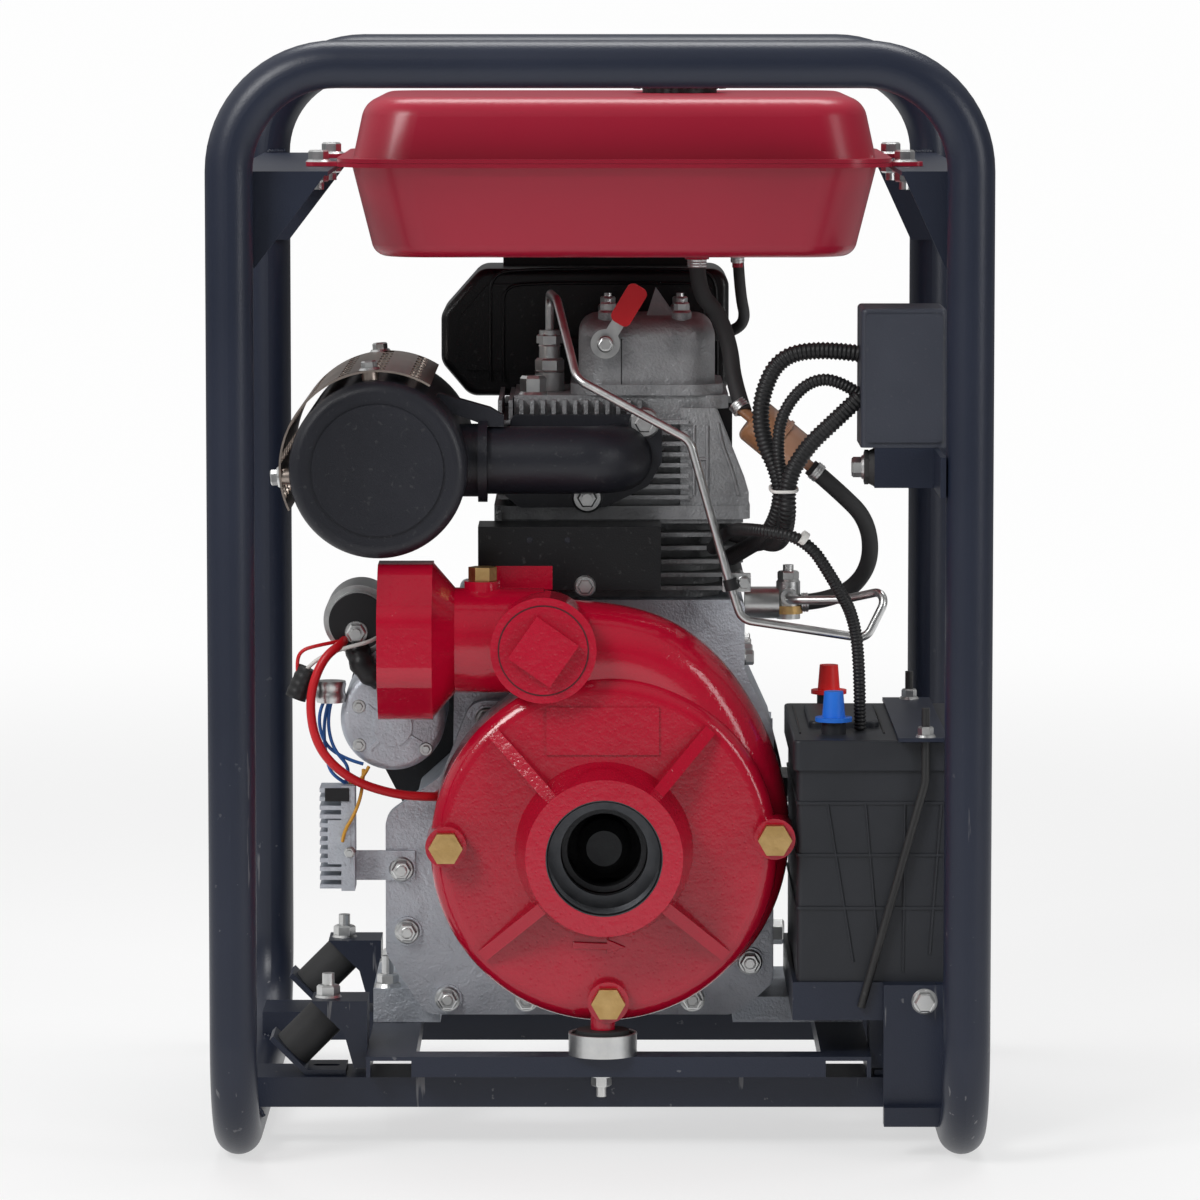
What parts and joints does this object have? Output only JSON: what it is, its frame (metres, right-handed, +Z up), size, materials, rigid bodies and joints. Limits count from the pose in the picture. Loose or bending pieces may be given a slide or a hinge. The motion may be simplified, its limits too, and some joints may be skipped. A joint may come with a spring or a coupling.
{
  "type": "engine-driven water pump",
  "caption": "Diesel engine with a cast volute pump on its front, in a tubular roll frame with fuel tank, silencer and starting battery.",
  "frame": {"origin": "on the ground under the middle of the roll frame", "axes": "+X right seen from the suction port, +Y from the suction port towards the engine, +Z up"},
  "size_m": [0.56, 0.584, 0.81],
  "materials": {
    "frame_black": "satin powder coat",
    "sheet_black": "satin enamel",
    "pump_red": "gloss enamel",
    "tank_red": "satin gloss enamel",
    "brass": "turned",
    "zinc": "zinc plated",
    "shield_steel": "heat tinted",
    "rubber": "matt",
    "cast_aluminium": "as cast",
    "cast_iron": "as cast",
    "battery_plastic": "moulded",
    "loom_plastic": "corrugated",
    "red_plastic": "gloss",
    "blue_plastic": "gloss",
    "amber_plastic": "translucent"
  },
  "bodies": {
    "unit": {"air_cleaner": "sheet_black", "battery_case": "battery_plastic", "battery_clamp": "frame_black", "battery_clamp_rods": "zinc", "battery_lid": "battery_plastic", "battery_tray": "frame_black", "blue_terminal_cap": "blue_plastic", "brass_plugs": "brass", "control_box": "frame_black", "control_box_bracket": "frame_black", "crankcase": "cast_aluminium", "crankcase_cover": "cast_aluminium", "cross_rails": "frame_black", "cylinder_barrel": "cast_iron", "cylinder_cowl": "sheet_black", "cylinder_head": "cast_aluminium", "engine_mount_plates": "frame_black", "engine_mount_rubbers": "rubber", "exhaust_elbow": "sheet_black", "fan_cover": "sheet_black", "fan_housing": "sheet_black", "front_hoop": "frame_black", "fuel_cap": "loom_plastic", "fuel_filter": "amber_plastic", "fuel_hoses": "rubber", "fuel_tank_lower": "tank_red", "fuel_tank_upper": "tank_red", "injection_fittings": "zinc", "injection_pipe": "zinc", "mount_frame": "frame_black", "priming_plug": "pump_red", "pump_back_plate": "pump_red", "pump_casing": "pump_red", "pump_mount_cup": "zinc", "pump_mount_rubber": "rubber", "rear_hoop": "frame_black", "red_terminal_cap": "red_plastic", "rocker_cover": "cast_aluminium", "silencer": "sheet_black", "silencer_heat_shield": "shield_steel", "skids": "frame_black", "starter_cable": "red_plastic", "starter_motor": "cast_aluminium", "starter_solenoid": "zinc", "tank_brackets": "frame_black", "voltage_regulator": "cast_aluminium", "wiring_looms": "loom_plastic"},
    "rotor": {"impeller": "cast_iron", "pump_shaft": "zinc"},
    "lever": {"decompression_lever": "zinc", "lever_grip": "red_plastic"}
  },
  "joints": [
    {"name": "impeller_spin", "type": "hinge", "parent": "unit", "child": "rotor", "pos_m": [0.003, -0.14, 0.221], "axis": [0, 1, 0], "continuous": true},
    {"name": "decompression_lever_turn", "type": "hinge", "parent": "unit", "child": "lever", "pos_m": [0.004, -0.057, 0.583], "axis": [0, 1, 0], "range_deg": [0, 80]}
  ]
}
